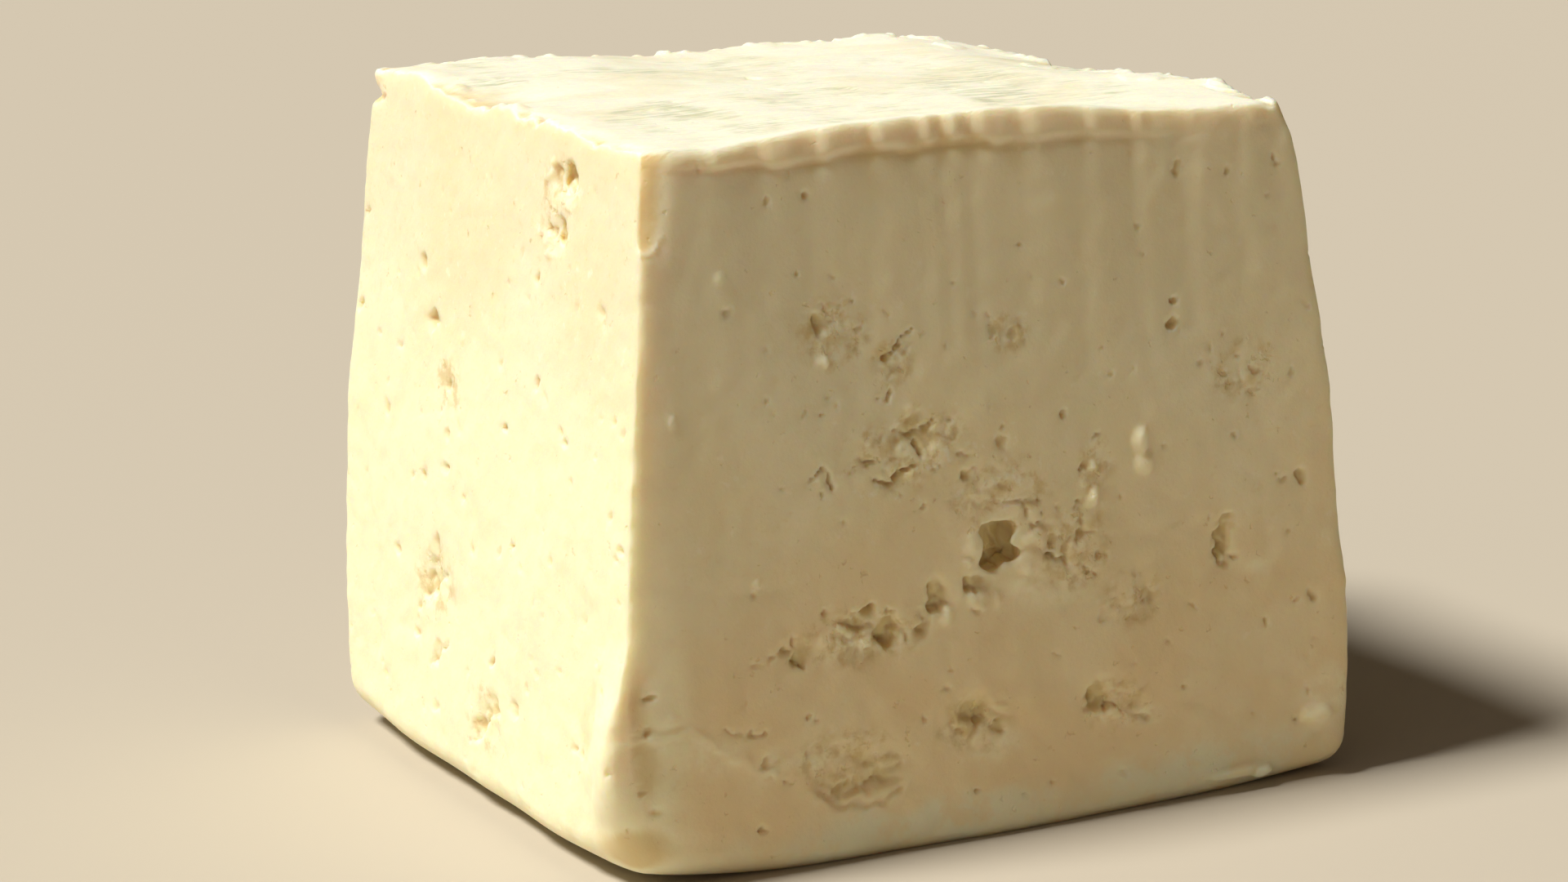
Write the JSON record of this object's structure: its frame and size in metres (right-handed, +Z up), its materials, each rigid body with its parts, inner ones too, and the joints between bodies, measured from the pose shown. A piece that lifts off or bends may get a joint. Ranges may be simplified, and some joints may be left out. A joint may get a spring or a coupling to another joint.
{
  "type": "tofu block",
  "caption": "Firm pressed tofu block with leaning, slightly swollen sides, a scalloped top edge, curd holes, cracks and pits, and a flat underside.",
  "frame": {"origin": "centre of the block's bounding box in plan, on the flat underside", "axes": "+Z up; X runs along the broad side, with the broad fluted front side facing -Y and the smoother left side facing -X"},
  "size_m": [0.1242, 0.107, 0.1063],
  "materials": {
    "curd": "moist, satin, slightly translucent"
  },
  "bodies": {
    "root": {"tofu_block": "curd"}
  },
  "joints": []
}
